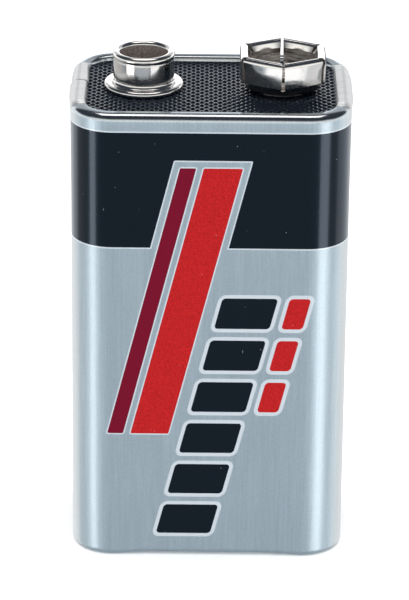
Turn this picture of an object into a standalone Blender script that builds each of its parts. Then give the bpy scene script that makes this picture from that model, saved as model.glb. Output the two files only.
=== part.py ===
# A nine volt battery: a steel jacket round six small cells wired in series, with a
# stud and a hexagonal socket on its terminal board.
# Sizes are in metres. The origin is the middle of the base, +Z is up, the front
# faces -Y and the positive stud stands at -X.

from math import atan2, cos, hypot, pi, radians, sin

import bmesh
import bpy

# Jacket: one wrapped sheet with a lap seam on its left side, rolled over at both ends
JACKET_WIDTH = 0.0260
JACKET_DEPTH = 0.0170
JACKET_HEIGHT = 0.0454
JACKET_CORNER = 0.0040
SHEET = 0.00025
RIM_OUTER_ROLL = 0.00065
RIM_FLAT = 0.00025
RIM_INNER_ROLL = 0.0004
BASE_ROLL = 0.0006
BASE_LIP = 0.0015
SEAM_STEP = 0.00013
SEAM_RAMP = 0.00012
SEAM_BEHIND_MIDDLE = 0.0002

# Printing: a dark band round the top, and leaning fields on the front face
BAND_DROP = 0.00202
BAND_HEIGHT = 0.01133
PRINT_LEAN = 0.25
PRINT_PIVOT = 0.0220
STRIPE_MARGIN = 0.00075
STRIPE_DROP = 0.0034
STRIPE_LENGTH = 0.0270
DEEP_STRIPE = (-0.0073, -0.0058)
RED_STRIPE = (-0.0051, -0.0015)
DARK_BARS = (0.0, 0.0052)
RED_BARS = (0.0063, 0.0083)
BAR_FOOT = 0.0024
BAR_HEIGHT = 0.0031
BAR_PITCH = 0.0043
BAR_COUNT = 6
RED_BAR_COUNT = 3

# Running gaps between pieces
GAP = 0.00005
LOOSE_FIT = 0.0001

# Terminal board, with a skirt that stands on the upper card
BOARD_THICKNESS = 0.0012
SKIRT_HEIGHT = 0.00185
SKIRT_WALL = 0.0009

# Terminals
TERMINAL_PITCH = 0.01295
TERMINAL_SHIFT = 0.00015
TERMINAL_SHEET = 0.0003
STUD_HEIGHT = 0.0034
STUD_RADIUS = 0.0028
STUD_BEAD = 0.00012
STUD_MOUTH = 0.0023
STUD_LIP = 0.00035
STUD_FLANGE = 0.00373
STUD_FLANGE_RISE = 0.0003
SOCKET_HEIGHT = 0.0034
SOCKET_BASE_APOTHEM = 0.0036
SOCKET_TOP_APOTHEM = 0.00397
SOCKET_CURL = 0.00052
SOCKET_LIP_DROP = 0.00035
SOCKET_COLLAR = 0.0010
SLIT_WIDTH = 0.00028
RIVET_SHANK = 0.0012
RIVET_BORE = 0.0007
RIVET_HEAD = 0.0019
RIVET_HEAD_THICKNESS = 0.0003

# Plates below and between
COVER_THICKNESS = 0.0010
COVER_CHAMFER = 0.0003
COVER_PANEL_MARGIN = 0.0028
COVER_PANEL_DEPTH = 0.0003
CARD_THICKNESS = 0.00025

# Cells, two rows of three
CELLS_ACROSS = 3
CELLS_DEEP = 2
SLEEVE_WALL = 0.0001
SLEEVE_SETBACK = 0.0005
CELL_EDGE = 0.0003
NUB_RADIUS = 0.0019
NUB_HEIGHT = 0.0002
CAN_LIP = 0.0007
MOUTH_DEPTH = 0.0009
SEAL_WALL = 0.00035
CAP_THICKNESS = 0.0003
CAP_PROUD = 0.00015

# Nickel strips that join the cells
STRIP_THICKNESS = 0.00015
STRIP_WIDTH = 0.0034
STRIP_END = 0.0016
STRIP_CORNER = 0.0010
RISER_OFFSET = 0.0015

ROUND_STEPS = 24
STUD_STEPS = 36
CORNER_STEPS = 8

# Levels, from the rim down and from the base up
band_top = JACKET_HEIGHT - BAND_DROP
band_bottom = band_top - BAND_HEIGHT
stripe_top = band_top - STRIPE_DROP
stripe_bottom = stripe_top - STRIPE_LENGTH
board_top = JACKET_HEIGHT - RIM_INNER_ROLL - GAP
board_bottom = board_top - BOARD_THICKNESS
skirt_bottom = board_bottom - SKIRT_HEIGHT
upper_card_top = skirt_bottom - GAP
upper_card_bottom = upper_card_top - CARD_THICKNESS
upper_link_bottom = upper_card_bottom - GAP - STRIP_THICKNESS
cells_top = upper_link_bottom - GAP
cover_bottom = SHEET + GAP
cover_top = cover_bottom + COVER_THICKNESS
lower_card_bottom = cover_top + GAP
lower_link_bottom = lower_card_bottom + CARD_THICKNESS + GAP
cells_bottom = lower_link_bottom + STRIP_THICKNESS + GAP
cell_length = cells_top - cells_bottom
lead_bottom = board_bottom - GAP - STRIP_THICKNESS
terminal_bottom = board_top + GAP

# Room inside the jacket, and the cells that fill it
inner_width = JACKET_WIDTH - 2 * (SHEET + SEAM_STEP + LOOSE_FIT)
inner_depth = JACKET_DEPTH - 2 * (SHEET + LOOSE_FIT)
inner_corner = JACKET_CORNER - SHEET
pitch_x = inner_width / CELLS_ACROSS
pitch_y = inner_depth / CELLS_DEEP
sleeve_radius = (min(pitch_x, pitch_y) - GAP) / 2
can_radius = sleeve_radius - SLEEVE_WALL - GAP
can_mouth = can_radius - CAN_LIP
seal_radius = can_mouth - GAP
cap_radius = seal_radius - SEAL_WALL - GAP

stud_x = TERMINAL_SHIFT - TERMINAL_PITCH / 2
socket_x = TERMINAL_SHIFT + TERMINAL_PITCH / 2
shank_hole = RIVET_SHANK + GAP


def clear_scene():
    for obj in list(bpy.data.objects):
        bpy.data.objects.remove(obj, do_unlink=True)


def new_collection(name):
    made = bpy.data.collections.new(name)
    bpy.context.scene.collection.children.link(made)
    return made


def make_material(name, colour, roughness, metallic):
    material = bpy.data.materials.new(name)
    material.use_nodes = True
    shader = material.node_tree.nodes["Principled BSDF"]
    shader.inputs["Base Color"].default_value = (*colour, 1.0)
    shader.inputs["Roughness"].default_value = roughness
    shader.inputs["Metallic"].default_value = metallic
    material.diffuse_color = (*colour, 1.0)
    return material


def add_object(name, mesh, collection, material=None):
    obj = bpy.data.objects.new(name, mesh)
    collection.objects.link(obj)
    if material and material.name not in mesh.materials:
        mesh.materials.append(material)
    return obj


def arc(centre_a, centre_b, radius, start, end, steps):
    """Points of an arc in a section's own plane, both ends included, angles in degrees."""
    turn = radians(end - start) / steps
    return [
        (
            centre_a + radius * cos(radians(start) + turn * step),
            centre_b + radius * sin(radians(start) + turn * step),
        )
        for step in range(steps + 1)
    ]


def profile_mesh(name, points, ring):
    """An outline in the XZ plane. A ring is closed, and any other runs from axis to axis."""
    count = len(points)
    edges = [(index, (index + 1) % count) for index in range(count if ring else count - 1)]
    mesh = bpy.data.meshes.new(name)
    mesh.from_pydata([(x, 0.0, z) for x, z in points], edges, [])
    return mesh


def turn_profile(obj, steps, smooth=True):
    screw = obj.modifiers.new("turned", "SCREW")
    screw.axis = "Z"
    screw.steps = steps
    screw.render_steps = steps
    screw.use_merge_vertices = True
    screw.merge_threshold = 1e-7
    screw.use_smooth_shade = smooth
    return obj


def turned(name, points, ring, collection, material, steps=ROUND_STEPS):
    return turn_profile(add_object(name, profile_mesh(name, points, ring), collection, material), steps)


def rounded_block(
    name, width, depth, bottom, top, corner, collection, material=None, lower_edge=0.0
):
    """An upright block with round vertical edges, modelled round the Z axis."""
    bm = bmesh.new()
    bmesh.ops.create_cube(bm, size=1.0)
    bmesh.ops.scale(bm, vec=(width, depth, top - bottom), verts=bm.verts)
    bmesh.ops.translate(bm, vec=(0, 0, (top + bottom) / 2), verts=bm.verts)
    upright = [
        edge for edge in bm.edges if abs(edge.verts[0].co.z - edge.verts[1].co.z) > (top - bottom) / 2
    ]
    bmesh.ops.bevel(
        bm,
        geom=upright,
        offset=corner,
        offset_type="OFFSET",
        segments=CORNER_STEPS,
        profile=0.5,
        affect="EDGES",
        material=-1,
    )
    if lower_edge:
        rim = [edge for edge in bm.edges if max(vert.co.z for vert in edge.verts) < bottom + 1e-6]
        bmesh.ops.bevel(
            bm, geom=rim, offset=lower_edge, segments=1, profile=0.5, affect="EDGES", material=-1
        )
    bmesh.ops.recalc_face_normals(bm, faces=bm.faces)
    mesh = bpy.data.meshes.new(name)
    bm.to_mesh(mesh)
    bm.free()
    return add_object(name, mesh, collection, material)


def cutter_look(obj):
    obj.hide_render = True
    obj.display_type = "WIRE"
    return obj


def drill(name, x, y, radius, bottom, top, cutters):
    """A round cutter that stands on bottom."""
    bm = bmesh.new()
    bmesh.ops.create_cone(
        bm,
        cap_ends=True,
        segments=ROUND_STEPS,
        radius1=radius,
        radius2=radius,
        depth=top - bottom,
    )
    mesh = bpy.data.meshes.new(name)
    bm.to_mesh(mesh)
    bm.free()
    obj = cutter_look(add_object(name, mesh, cutters))
    obj.location = (x, y, (top + bottom) / 2)
    return obj


def cut(obj, cutter):
    boolean = obj.modifiers.new("cut " + cutter.name, "BOOLEAN")
    boolean.operation = "DIFFERENCE"
    boolean.solver = "EXACT"
    boolean.object = cutter
    return obj


def jacket_section():
    """The sheet's section as (inset from the outer face, height), closed."""
    rim_in = RIM_OUTER_ROLL + RIM_FLAT

    def skin(offset):
        outer_roll = RIM_OUTER_ROLL - offset
        inner_roll = RIM_INNER_ROLL - offset
        rim_level = JACKET_HEIGHT - RIM_INNER_ROLL
        rim_centre = JACKET_HEIGHT - RIM_OUTER_ROLL
        return (
            [(BASE_LIP, offset)]
            + arc(BASE_ROLL, BASE_ROLL, BASE_ROLL - offset, 270, 180, 4)
            + ([(0.0, band_bottom), (0.0, band_top)] if offset == 0 else [])
            + arc(RIM_OUTER_ROLL, rim_centre, outer_roll, 180, 90, 5)
            + arc(rim_in, rim_level, inner_roll, 90, 0, 4)
        )

    return skin(0.0) + skin(SHEET)[::-1]


def ink_at(x, z):
    """The ink on a point of the front face, as a material index. 0 is bare metal."""
    across = x - PRINT_LEAN * (z - PRINT_PIVOT)
    row, rise = divmod(z - BAR_FOOT, BAR_PITCH)
    on_bar = rise < BAR_HEIGHT and 0 <= row < BAR_COUNT
    on_stripe = stripe_bottom < z < stripe_top
    if on_stripe and DEEP_STRIPE[0] < across < DEEP_STRIPE[1]:
        return 3
    if on_stripe and RED_STRIPE[0] < across < RED_STRIPE[1]:
        return 2
    if on_bar and row >= BAR_COUNT - RED_BAR_COUNT and RED_BARS[0] < across < RED_BARS[1]:
        return 2
    if on_bar and DARK_BARS[0] < across < DARK_BARS[1]:
        return 1
    bare_left = DEEP_STRIPE[0] - STRIPE_MARGIN
    bare_right = RED_STRIPE[1] + STRIPE_MARGIN
    bare = bare_left < across < bare_right and z < stripe_top + STRIPE_MARGIN
    return int(band_bottom < z < band_top and not bare)


def divide_front(bm, front_y):
    """Cuts the front face along the edges of the printed fields."""
    inner = [edge for pair in (DEEP_STRIPE, RED_STRIPE, DARK_BARS, RED_BARS) for edge in pair]
    left, right = DEEP_STRIPE[0] - STRIPE_MARGIN, RED_BARS[1] + STRIPE_MARGIN
    low, high = BAR_FOOT - STRIPE_MARGIN, stripe_top + STRIPE_MARGIN
    rows = [BAR_FOOT + BAR_PITCH * row for row in range(BAR_COUNT)]
    levels = [stripe_bottom, stripe_top] + rows + [row + BAR_HEIGHT for row in rows]

    def divide(distance, normal, field):
        faces = []
        for face in bm.faces:
            centre = face.calc_center_median()
            across = centre.x - PRINT_LEAN * (centre.z - PRINT_PIVOT)
            flat = all(abs(vert.co.y - front_y) < 1e-7 for vert in face.verts)
            if flat and (not field or (left < across < right and low < centre.z < high)):
                faces.append(face)
        edges = {edge for face in faces for edge in face.edges}
        verts = {vert for face in faces for vert in face.verts}
        foot = (distance, 0, PRINT_PIVOT) if normal[0] else (0, 0, distance)
        geom = [*verts, *edges, *faces]
        bmesh.ops.bisect_plane(bm, geom=geom, dist=1e-7, plane_co=foot, plane_no=normal)

    lean = (1, 0, -PRINT_LEAN)
    upright = (0, 0, 1)
    for level in (low, high):
        divide(level, upright, False)
    for column in (left, right):
        divide(column, lean, False)
    for column in inner + [RED_STRIPE[1] + STRIPE_MARGIN]:
        divide(column, lean, True)
    for level in levels:
        divide(level, upright, True)


def make_jacket(collection, steel, inks):
    """Sweeps the section round the rounded rectangle, and steps it in behind the lap seam."""
    half_width = JACKET_WIDTH / 2
    half_depth = JACKET_DEPTH / 2
    flat_x = half_width - JACKET_CORNER
    flat_y = half_depth - JACKET_CORNER
    bm = bmesh.new()
    verts = [bm.verts.new((-flat_x, inset - half_depth, z)) for inset, z in jacket_section()]
    front = [bm.edges.new((verts[index - 1], verts[index])) for index in range(len(verts))]

    def run(edges, dx, dy):
        made = bmesh.ops.extrude_edge_only(bm, edges=edges)["geom"]
        ends = {item for item in made if isinstance(item, bmesh.types.BMVert)}
        bmesh.ops.translate(bm, vec=(dx, dy, 0), verts=list(ends))
        return [
            item
            for item in made
            if isinstance(item, bmesh.types.BMEdge) and set(item.verts) <= ends
        ]

    def corner(edges, x, y):
        geom = edges + list({vert for edge in edges for vert in edge.verts})
        last = bmesh.ops.spin(
            bm, geom=geom, cent=(x, y, 0), axis=(0, 0, 1), angle=pi / 2, steps=CORNER_STEPS
        )["geom_last"]
        return [item for item in last if isinstance(item, bmesh.types.BMEdge)]

    seam_run = flat_y - SEAM_BEHIND_MIDDLE - SEAM_RAMP
    loop = run(front, 2 * flat_x, 0)
    loop = corner(loop, flat_x, -flat_y)
    loop = run(loop, 0, 2 * flat_y)
    loop = corner(loop, flat_x, flat_y)
    loop = run(loop, -2 * flat_x, 0)
    loop = corner(loop, -flat_x, flat_y)
    loop = run(loop, SEAM_STEP, -seam_run)
    loop = run(loop, -SEAM_STEP, -SEAM_RAMP)
    loop = run(loop, 0, -flat_y - SEAM_BEHIND_MIDDLE)
    corner(loop, -flat_x, -flat_y)
    bmesh.ops.remove_doubles(bm, verts=bm.verts, dist=1e-7)
    divide_front(bm, -half_depth)
    bmesh.ops.recalc_face_normals(bm, faces=bm.faces)
    mesh = bpy.data.meshes.new("jacket")
    for face in bm.faces:
        centre = face.calc_center_median()
        on_front = all(abs(vert.co.y + half_depth) < 1e-7 for vert in face.verts)
        banded = int(band_bottom < centre.z < band_top)
        face.smooth = True
        face.material_index = ink_at(centre.x, centre.z) if on_front else banded
    bm.to_mesh(mesh)
    bm.free()
    jacket = add_object("jacket", mesh, collection, steel)
    for ink in inks:
        mesh.materials.append(ink)
    mesh.set_sharp_from_angle(angle=radians(40))
    return jacket


def make_board(collection, cutters, plastic):
    board = rounded_block(
        "terminal_board",
        inner_width,
        inner_depth,
        skirt_bottom,
        board_top,
        inner_corner,
        collection,
        plastic,
    )
    pocket = rounded_block(
        "board_pocket",
        inner_width - 2 * SKIRT_WALL,
        inner_depth - 2 * SKIRT_WALL,
        skirt_bottom - BOARD_THICKNESS,
        board_bottom,
        inner_corner - SKIRT_WALL,
        cutters,
    )
    cut(board, cutter_look(pocket))
    for name, x in (("stud_hole", stud_x), ("socket_hole", socket_x)):
        hole_bottom = board_bottom - BOARD_THICKNESS
        hole_top = board_top + BOARD_THICKNESS
        cut(board, drill(name, x, 0, shank_hole, hole_bottom, hole_top, cutters))
    return board


def make_stud(collection, nickel):
    """A drawn stud: flange, barrel, rolled lip, inner wall and floor, all one sheet."""
    base = terminal_bottom
    floor = base + TERMINAL_SHEET
    top = base + STUD_HEIGHT
    lip = (STUD_RADIUS + STUD_BEAD - STUD_MOUTH) / 2
    lip_middle = STUD_MOUTH + lip
    flange_edge = STUD_FLANGE - TERMINAL_SHEET / 2
    fillet = TERMINAL_SHEET
    outline = (
        arc(lip_middle, top - STUD_LIP, lip, 180, 90, 3)
        + arc(lip_middle, top - STUD_LIP, lip, 90, 0, 3)[1:]
        + [(STUD_RADIUS, top - 2 * STUD_LIP)]
        + arc(STUD_RADIUS + fillet, floor + fillet, fillet, 180, 270, 3)
        + [(flange_edge - STUD_FLANGE_RISE, floor)]
        + arc(flange_edge, floor + STUD_FLANGE_RISE, TERMINAL_SHEET / 2, 150, -30, 4)
        + [(STUD_FLANGE - STUD_FLANGE_RISE, base), (shank_hole, base), (shank_hole, floor)]
        + [(STUD_MOUTH, floor)]
    )
    stud = turned("positive_stud", outline, True, collection, nickel, STUD_STEPS)
    stud.location.x = stud_x
    return stud


def make_socket(collection, cutters, nickel):
    """Six leaves on one hexagonal floor. Corners point to the front and the back."""
    base = terminal_bottom
    floor = base + TERMINAL_SHEET
    top = base + SOCKET_HEIGHT
    curl_middle = SOCKET_TOP_APOTHEM - SOCKET_CURL
    curl_level = top - SOCKET_CURL
    inner_curl = SOCKET_CURL - TERMINAL_SHEET
    lip_level = curl_level - SOCKET_LIP_DROP
    wall_inside = SOCKET_BASE_APOTHEM - TERMINAL_SHEET
    apothems = (
        [(curl_middle - SOCKET_CURL, lip_level)]
        + arc(curl_middle, curl_level, SOCKET_CURL, 180, 0, 8)
        + [(SOCKET_BASE_APOTHEM, base + SOCKET_COLLAR)]
        + arc(SOCKET_BASE_APOTHEM - TERMINAL_SHEET, floor, TERMINAL_SHEET, 0, -90, 3)
        + [(shank_hole, base), (shank_hole, floor), (wall_inside, floor)]
        + [(wall_inside, base + SOCKET_COLLAR)]
        + arc(curl_middle, curl_level, inner_curl, 0, 180, 6)
        + [(curl_middle - inner_curl, lip_level)]
    )
    outline = [(apothem / cos(radians(30)), level) for apothem, level in apothems]
    mesh = profile_mesh("negative_socket", outline, True)
    socket = turn_profile(add_object("negative_socket", mesh, collection, nickel), 6, smooth=False)
    socket.location.x = socket_x
    socket.rotation_euler.z = radians(30)
    across = 3 * SOCKET_TOP_APOTHEM
    for number, heading in enumerate((0, 60, 120), 1):
        slit = rounded_block(
            f"slit_{number}",
            across,
            SLIT_WIDTH,
            base + SOCKET_COLLAR,
            top + SOCKET_COLLAR,
            SLIT_WIDTH / 4,
            cutters,
        )
        slit.location.x = socket_x
        slit.rotation_euler.z = radians(heading + 30)
        cut(socket, cutter_look(slit))
    return socket


def make_rivet(name, x, collection, brass):
    """A tubular rivet that holds a terminal, the board and a lead together."""
    head_bottom = terminal_bottom + TERMINAL_SHEET + GAP
    head_top = head_bottom + RIVET_HEAD_THICKNESS
    foot_top = lead_bottom - GAP
    foot_bottom = foot_top - RIVET_HEAD_THICKNESS
    edge = RIVET_HEAD_THICKNESS / 3
    outline = [
        (RIVET_BORE + edge, head_top),
        (RIVET_HEAD - edge, head_top),
        (RIVET_HEAD, head_top - edge),
        (RIVET_HEAD, head_bottom),
        (RIVET_SHANK, head_bottom),
        (RIVET_SHANK, foot_top),
        (RIVET_HEAD, foot_top),
        (RIVET_HEAD, foot_bottom + edge),
        (RIVET_HEAD - edge, foot_bottom),
        (RIVET_BORE + edge, foot_bottom),
        (RIVET_BORE, foot_bottom + edge),
        (RIVET_BORE, head_top - edge),
    ]
    rivet = turned(name, outline, True, collection, brass)
    rivet.location.x = x
    return rivet


def make_lead(name, cell, terminal_x, collection, cutters, strip_metal):
    """A strip from a cell's end, up through the card, to the rivet under a terminal."""
    reach = hypot(terminal_x - cell[0], cell[1])
    heading = atan2(-cell[1], terminal_x - cell[0])
    pad = STRIP_THICKNESS / 2
    rise = lead_bottom - upper_link_bottom
    bm = bmesh.new()
    path = [
        (-STRIP_END, pad),
        (RISER_OFFSET, pad),
        (RISER_OFFSET, pad + rise),
        (reach + STRIP_END + GAP, pad + rise),
    ]
    verts = [bm.verts.new((x, -STRIP_WIDTH / 2, z)) for x, z in path]
    edges = [bm.edges.new(pair) for pair in zip(verts, verts[1:])]
    made = bmesh.ops.extrude_edge_only(bm, edges=edges)["geom"]
    far = [item for item in made if isinstance(item, bmesh.types.BMVert)]
    bmesh.ops.translate(bm, vec=(0, STRIP_WIDTH, 0), verts=far)
    mesh = bpy.data.meshes.new(name)
    bm.to_mesh(mesh)
    bm.free()
    lead = add_object(name, mesh, collection, strip_metal)
    lead.location = (cell[0], cell[1], upper_link_bottom)
    lead.rotation_euler.z = heading
    shell = lead.modifiers.new("strip", "SOLIDIFY")
    shell.thickness = STRIP_THICKNESS
    shell.offset = 0.0
    shell.use_even_offset = True
    hole_bottom = lead_bottom - 3 * STRIP_THICKNESS
    hole_top = board_bottom + STRIP_THICKNESS
    cut(lead, drill(name + "_hole", terminal_x, 0, shank_hole, hole_bottom, hole_top, cutters))
    return heading


def make_link(name, x, y, span_x, span_y, bottom, collection, strip_metal):
    link = rounded_block(
        name,
        span_x + (2 * STRIP_END if span_x else STRIP_WIDTH),
        span_y + (2 * STRIP_END if span_y else STRIP_WIDTH),
        bottom,
        bottom + STRIP_THICKNESS,
        STRIP_CORNER,
        collection,
        strip_metal,
    )
    link.location = (x, y, 0)
    return link


def cell_profiles():
    """The outlines of a cell's pieces. A cell's negative end is at its own zero."""
    shoulder = cell_length - NUB_HEIGHT
    seal_top = CAP_PROUD + MOUTH_DEPTH - GAP
    seal_floor = CAP_THICKNESS + GAP
    mouth_top = CAP_PROUD + MOUTH_DEPTH
    can = [
        (0.0, cell_length),
        (NUB_RADIUS, cell_length),
        (NUB_RADIUS, shoulder),
        (can_radius - CELL_EDGE, shoulder),
        (can_radius, shoulder - CELL_EDGE),
        (can_radius, CAP_PROUD + CELL_EDGE),
        (can_radius - CELL_EDGE, CAP_PROUD),
        (can_mouth, CAP_PROUD),
        (can_mouth, mouth_top),
        (0.0, mouth_top),
    ]
    seal = [
        (0.0, seal_top),
        (seal_radius, seal_top),
        (seal_radius, CAP_PROUD),
        (cap_radius + GAP, CAP_PROUD),
        (cap_radius + GAP, seal_floor),
        (0.0, seal_floor),
    ]
    cap = [
        (0.0, CAP_THICKNESS),
        (cap_radius, CAP_THICKNESS),
        (cap_radius, CAP_PROUD),
        (cap_radius - CAP_PROUD, 0.0),
        (0.0, 0.0),
    ]
    sleeve_top = shoulder - SLEEVE_SETBACK
    sleeve = [
        (sleeve_radius - SLEEVE_WALL, sleeve_top),
        (sleeve_radius, sleeve_top),
        (sleeve_radius, SLEEVE_SETBACK),
        (sleeve_radius - SLEEVE_WALL, SLEEVE_SETBACK),
    ]
    return (("can", can, False), ("seal", seal, False), ("cap", cap, False), ("sleeve", sleeve, True))


def make_cells(places, collection, materials):
    """Six cells, each turned over against the one before it in the chain."""
    outlines = cell_profiles()
    for number, (x, y) in enumerate(places, 1):
        holder = bpy.data.objects.new(f"cell_{number}_place", None)
        collection.objects.link(holder)
        upright = number % 2 == 1
        holder.location = (x, y, cells_bottom if upright else cells_top)
        holder.rotation_euler.x = 0.0 if upright else pi
        for piece, outline, ring in outlines:
            name = f"cell_{number}_{piece}"
            turned(name, outline, ring, collection, materials[piece]).parent = holder


def main():
    clear_scene()
    battery = new_collection("nine_volt_battery")
    cutters = new_collection("cutters")
    steel = make_material("tinned_steel", (0.42, 0.50, 0.54), 0.35, 1.0)
    enamel = make_material("dark_enamel", (0.011, 0.017, 0.024), 0.25, 0.0)
    red_ink = make_material("red_ink", (0.56, 0.02, 0.02), 0.35, 0.0)
    deep_red_ink = make_material("deep_red_ink", (0.21, 0.01, 0.035), 0.35, 0.0)
    plastic = make_material("black_plastic", (0.016, 0.021, 0.028), 0.45, 0.0)
    nickel = make_material("nickel_plate", (0.72, 0.72, 0.71), 0.15, 1.0)
    brass = make_material("rivet_metal", (0.62, 0.60, 0.55), 0.30, 1.0)
    card = make_material("insulating_card", (0.42, 0.36, 0.27), 0.85, 0.0)
    strip_metal = make_material("nickel_strip", (0.66, 0.65, 0.62), 0.35, 1.0)
    cell_materials = {
        "can": make_material("cell_steel", (0.58, 0.59, 0.60), 0.30, 1.0),
        "seal": make_material("nylon_seal", (0.72, 0.71, 0.66), 0.50, 0.0),
        "cap": strip_metal,
        "sleeve": make_material("shrink_sleeve", (0.10, 0.22, 0.34), 0.40, 0.0),
    }

    make_jacket(battery, steel, (enamel, red_ink, deep_red_ink))
    make_board(battery, cutters, plastic)
    make_stud(battery, nickel)
    make_socket(battery, cutters, nickel)
    make_rivet("positive_rivet", stud_x, battery, brass)
    make_rivet("negative_rivet", socket_x, battery, brass)

    cover = rounded_block(
        "bottom_cover",
        inner_width,
        inner_depth,
        cover_bottom,
        cover_top,
        inner_corner,
        battery,
        plastic,
        COVER_CHAMFER,
    )
    panel = rounded_block(
        "cover_panel",
        inner_width - 2 * COVER_PANEL_MARGIN,
        inner_depth - 2 * COVER_PANEL_MARGIN,
        cover_bottom - COVER_THICKNESS,
        cover_bottom + COVER_PANEL_DEPTH,
        inner_corner / 2,
        cutters,
    )
    cut(cover, cutter_look(panel))

    # The chain of cells runs round the block, from under the stud to under the socket.
    left, right = -pitch_x, pitch_x
    near, far = -pitch_y / 2, pitch_y / 2
    places = [(left, near), (left, far), (0, far), (0, near), (right, near), (right, far)]
    make_cells(places, battery, cell_materials)

    for number, x in enumerate((left, 0, right), 1):
        make_link(f"bottom_link_{number}", x, 0, 0, pitch_y, lower_link_bottom, battery, strip_metal)
    make_link("top_link_1", left / 2, far, pitch_x, 0, upper_link_bottom, battery, strip_metal)
    make_link("top_link_2", right / 2, near, pitch_x, 0, upper_link_bottom, battery, strip_metal)

    rounded_block(
        "bottom_insulator",
        inner_width,
        inner_depth,
        lower_card_bottom,
        lower_card_bottom + CARD_THICKNESS,
        inner_corner,
        battery,
        card,
    )
    upper_card = rounded_block(
        "top_insulator",
        inner_width,
        inner_depth,
        upper_card_bottom,
        upper_card_top,
        inner_corner,
        battery,
        card,
    )
    for name, place, terminal_x in (
        ("positive_lead", places[0], stud_x),
        ("negative_lead", places[-1], socket_x),
    ):
        heading = make_lead(name, place, terminal_x, battery, cutters, strip_metal)
        slot = rounded_block(
            name + "_slot",
            STRIP_THICKNESS + 4 * LOOSE_FIT,
            STRIP_WIDTH + 4 * LOOSE_FIT,
            upper_card_bottom - CARD_THICKNESS,
            upper_card_top + CARD_THICKNESS,
            LOOSE_FIT,
            cutters,
        )
        slot.location = (
            place[0] + RISER_OFFSET * cos(heading),
            place[1] + RISER_OFFSET * sin(heading),
            0,
        )
        slot.rotation_euler.z = heading
        cut(upper_card, cutter_look(slot))


main()
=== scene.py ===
from math import asin, atan2, cos, degrees, hypot, pi, radians, sin, tan

import bmesh
import bpy
from mathutils import Matrix, Vector


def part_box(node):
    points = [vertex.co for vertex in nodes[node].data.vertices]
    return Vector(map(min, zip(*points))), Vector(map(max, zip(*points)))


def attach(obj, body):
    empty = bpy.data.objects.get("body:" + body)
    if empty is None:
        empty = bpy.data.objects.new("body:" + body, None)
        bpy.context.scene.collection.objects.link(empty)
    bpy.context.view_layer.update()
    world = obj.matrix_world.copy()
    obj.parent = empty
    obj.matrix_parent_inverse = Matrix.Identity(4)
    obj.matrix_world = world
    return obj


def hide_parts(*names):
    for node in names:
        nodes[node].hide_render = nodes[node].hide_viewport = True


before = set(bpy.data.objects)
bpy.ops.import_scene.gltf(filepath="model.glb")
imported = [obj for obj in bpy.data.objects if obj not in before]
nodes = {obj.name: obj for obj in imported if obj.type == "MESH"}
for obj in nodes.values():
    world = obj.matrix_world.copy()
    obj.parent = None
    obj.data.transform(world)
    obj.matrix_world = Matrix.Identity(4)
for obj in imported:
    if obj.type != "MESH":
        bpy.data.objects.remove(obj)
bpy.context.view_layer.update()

mm = 0.001  # the pieces are sized in millimetres, the studio and the bumps in metres


def arc(centreA, centreB, radius, start, end, steps):
    turn = radians(end - start) / steps
    angles = [radians(start) + turn * i for i in range(steps + 1)]
    return [(centreA + radius * cos(angle), centreB + radius * sin(angle)) for angle in angles]


def smoothStep(value, low, high):
    t = min(max((value - low) / (high - low), 0.0), 1.0)
    return t * t * (3 - 2 * t)


def fadeOut(value, low, high):
    return 1 - smoothStep(value, low, high)


def linkObject(name, mesh):
    obj = bpy.data.objects.new(name, mesh)
    bpy.context.scene.collection.objects.link(obj)
    return obj


def meshFrom(name, bm):
    bmesh.ops.transform(bm, matrix=Matrix.Scale(mm, 4), verts=bm.verts)
    mesh = bpy.data.meshes.new(name)
    bm.to_mesh(mesh)
    bm.free()
    return mesh


def closeUp(bm, gap=1e-4):
    bmesh.ops.remove_doubles(bm, verts=bm.verts, dist=gap)
    bmesh.ops.recalc_face_normals(bm, faces=bm.faces)


def closedLoop(bm, points):
    verts = [bm.verts.new(point) for point in points]
    return verts, [bm.edges.new((verts[i - 1], verts[i])) for i in range(len(verts))]


def fullSpin(points, steps):
    bm = bmesh.new()
    verts, edges = closedLoop(bm, points)
    bmesh.ops.spin(
        bm, geom=verts + edges, cent=(0, 0, 0), axis=(0, 0, 1), angle=2 * pi, steps=steps, use_merge=True
    )
    closeUp(bm)
    return bm


def only(kind, geom):
    return [item for item in geom if isinstance(item, kind)]


def cutAway(obj, cutters):
    # difference by each cutter in turn, then keep the result as a plain mesh
    for cutter in cutters:
        boolean = obj.modifiers.new("cut", "BOOLEAN")
        boolean.operation = "DIFFERENCE"
        boolean.solver = "EXACT"
        boolean.object = cutter
    bpy.context.view_layer.update()
    evaluated = obj.evaluated_get(bpy.context.evaluated_depsgraph_get())
    mesh = bpy.data.meshes.new_from_object(evaluated)
    obj.modifiers.clear()
    obj.data = mesh
    for cutter in cutters:
        bpy.data.objects.remove(cutter, do_unlink=True)


def dress(obj, materials, replaced=None, sharpAngle=35, pickSlot=None):
    obj.data.materials.clear()
    for material in materials:
        obj.data.materials.append(material)
    for face in obj.data.polygons:
        face.use_smooth = True
        face.material_index = pickSlot(face.center / mm, face.normal) if pickSlot else 0
    obj.data.set_sharp_from_angle(angle=radians(sharpAngle))
    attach(obj, "root")
    if replaced:
        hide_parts(replaced)
    print("piece", obj.name, len(obj.data.polygons), "faces")


def socketOf(tree, socket, value):
    if isinstance(value, bpy.types.NodeSocket):
        tree.links.new(value, socket)
    else:
        socket.default_value = value


def calc(tree, operation, *values):
    node = tree.nodes.new("ShaderNodeMath")
    node.operation = operation
    for i, value in enumerate(values):
        socketOf(tree, node.inputs[i], value)
    return node.outputs[0]


def plus(tree, first, second):
    return calc(tree, "ADD", first, second)


def minus(tree, first, second):
    return calc(tree, "SUBTRACT", first, second)


def times(tree, first, second):
    return calc(tree, "MULTIPLY", first, second)


def larger(tree, first, second):
    return calc(tree, "MAXIMUM", first, second)


def absolute(tree, value):
    return calc(tree, "ABSOLUTE", value)


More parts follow.
